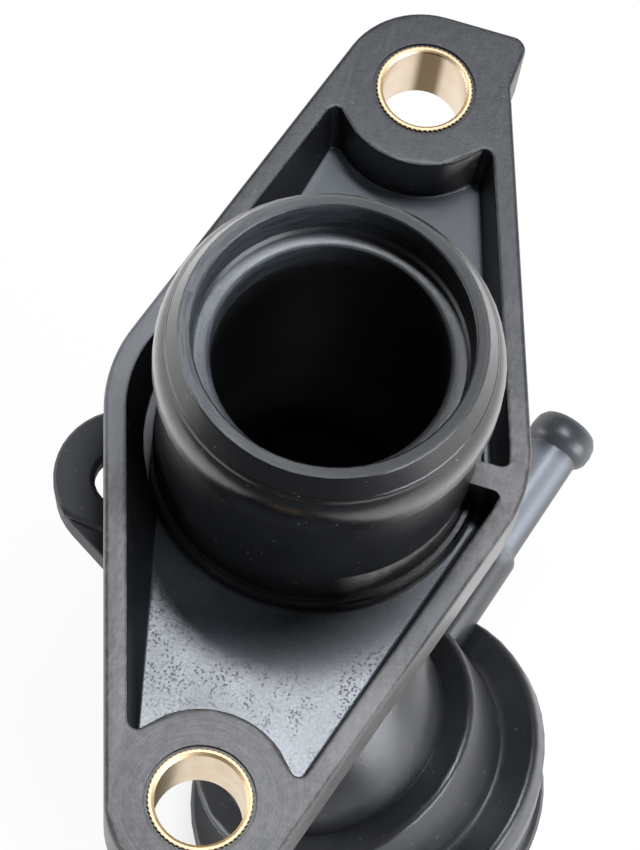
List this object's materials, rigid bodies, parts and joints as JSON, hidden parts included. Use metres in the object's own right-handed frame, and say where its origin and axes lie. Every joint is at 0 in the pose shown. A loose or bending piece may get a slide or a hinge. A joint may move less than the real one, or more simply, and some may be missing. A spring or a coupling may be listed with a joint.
{
  "type": "coolant filler neck",
  "caption": "Moulded coolant filler neck: pocketed two-bolt lozenge flange with brass sleeves, beaded hose spigot, elbow, collared filler mouth, overflow nipple and side lug.",
  "frame": {"origin": "on the hose spigot's axis, in the plane of the flange's face that carries the pocket", "axes": "+Z along the spigot towards its hose end, Y through both bolt holes with the squared nub at +Y, +X towards the flange corner with the rib, the side that the filler neck leans to"},
  "size_m": [0.0698, 0.116, 0.098],
  "materials": {
    "black_nylon": "injection-moulded glass-filled nylon, satin, lightly scuffed",
    "brass": "turned, satin, knurled outside"
  },
  "bodies": {
    "root": {"filler_neck_body": "black_nylon", "upper_sleeve": "brass", "lower_sleeve": "brass"}
  },
  "joints": []
}
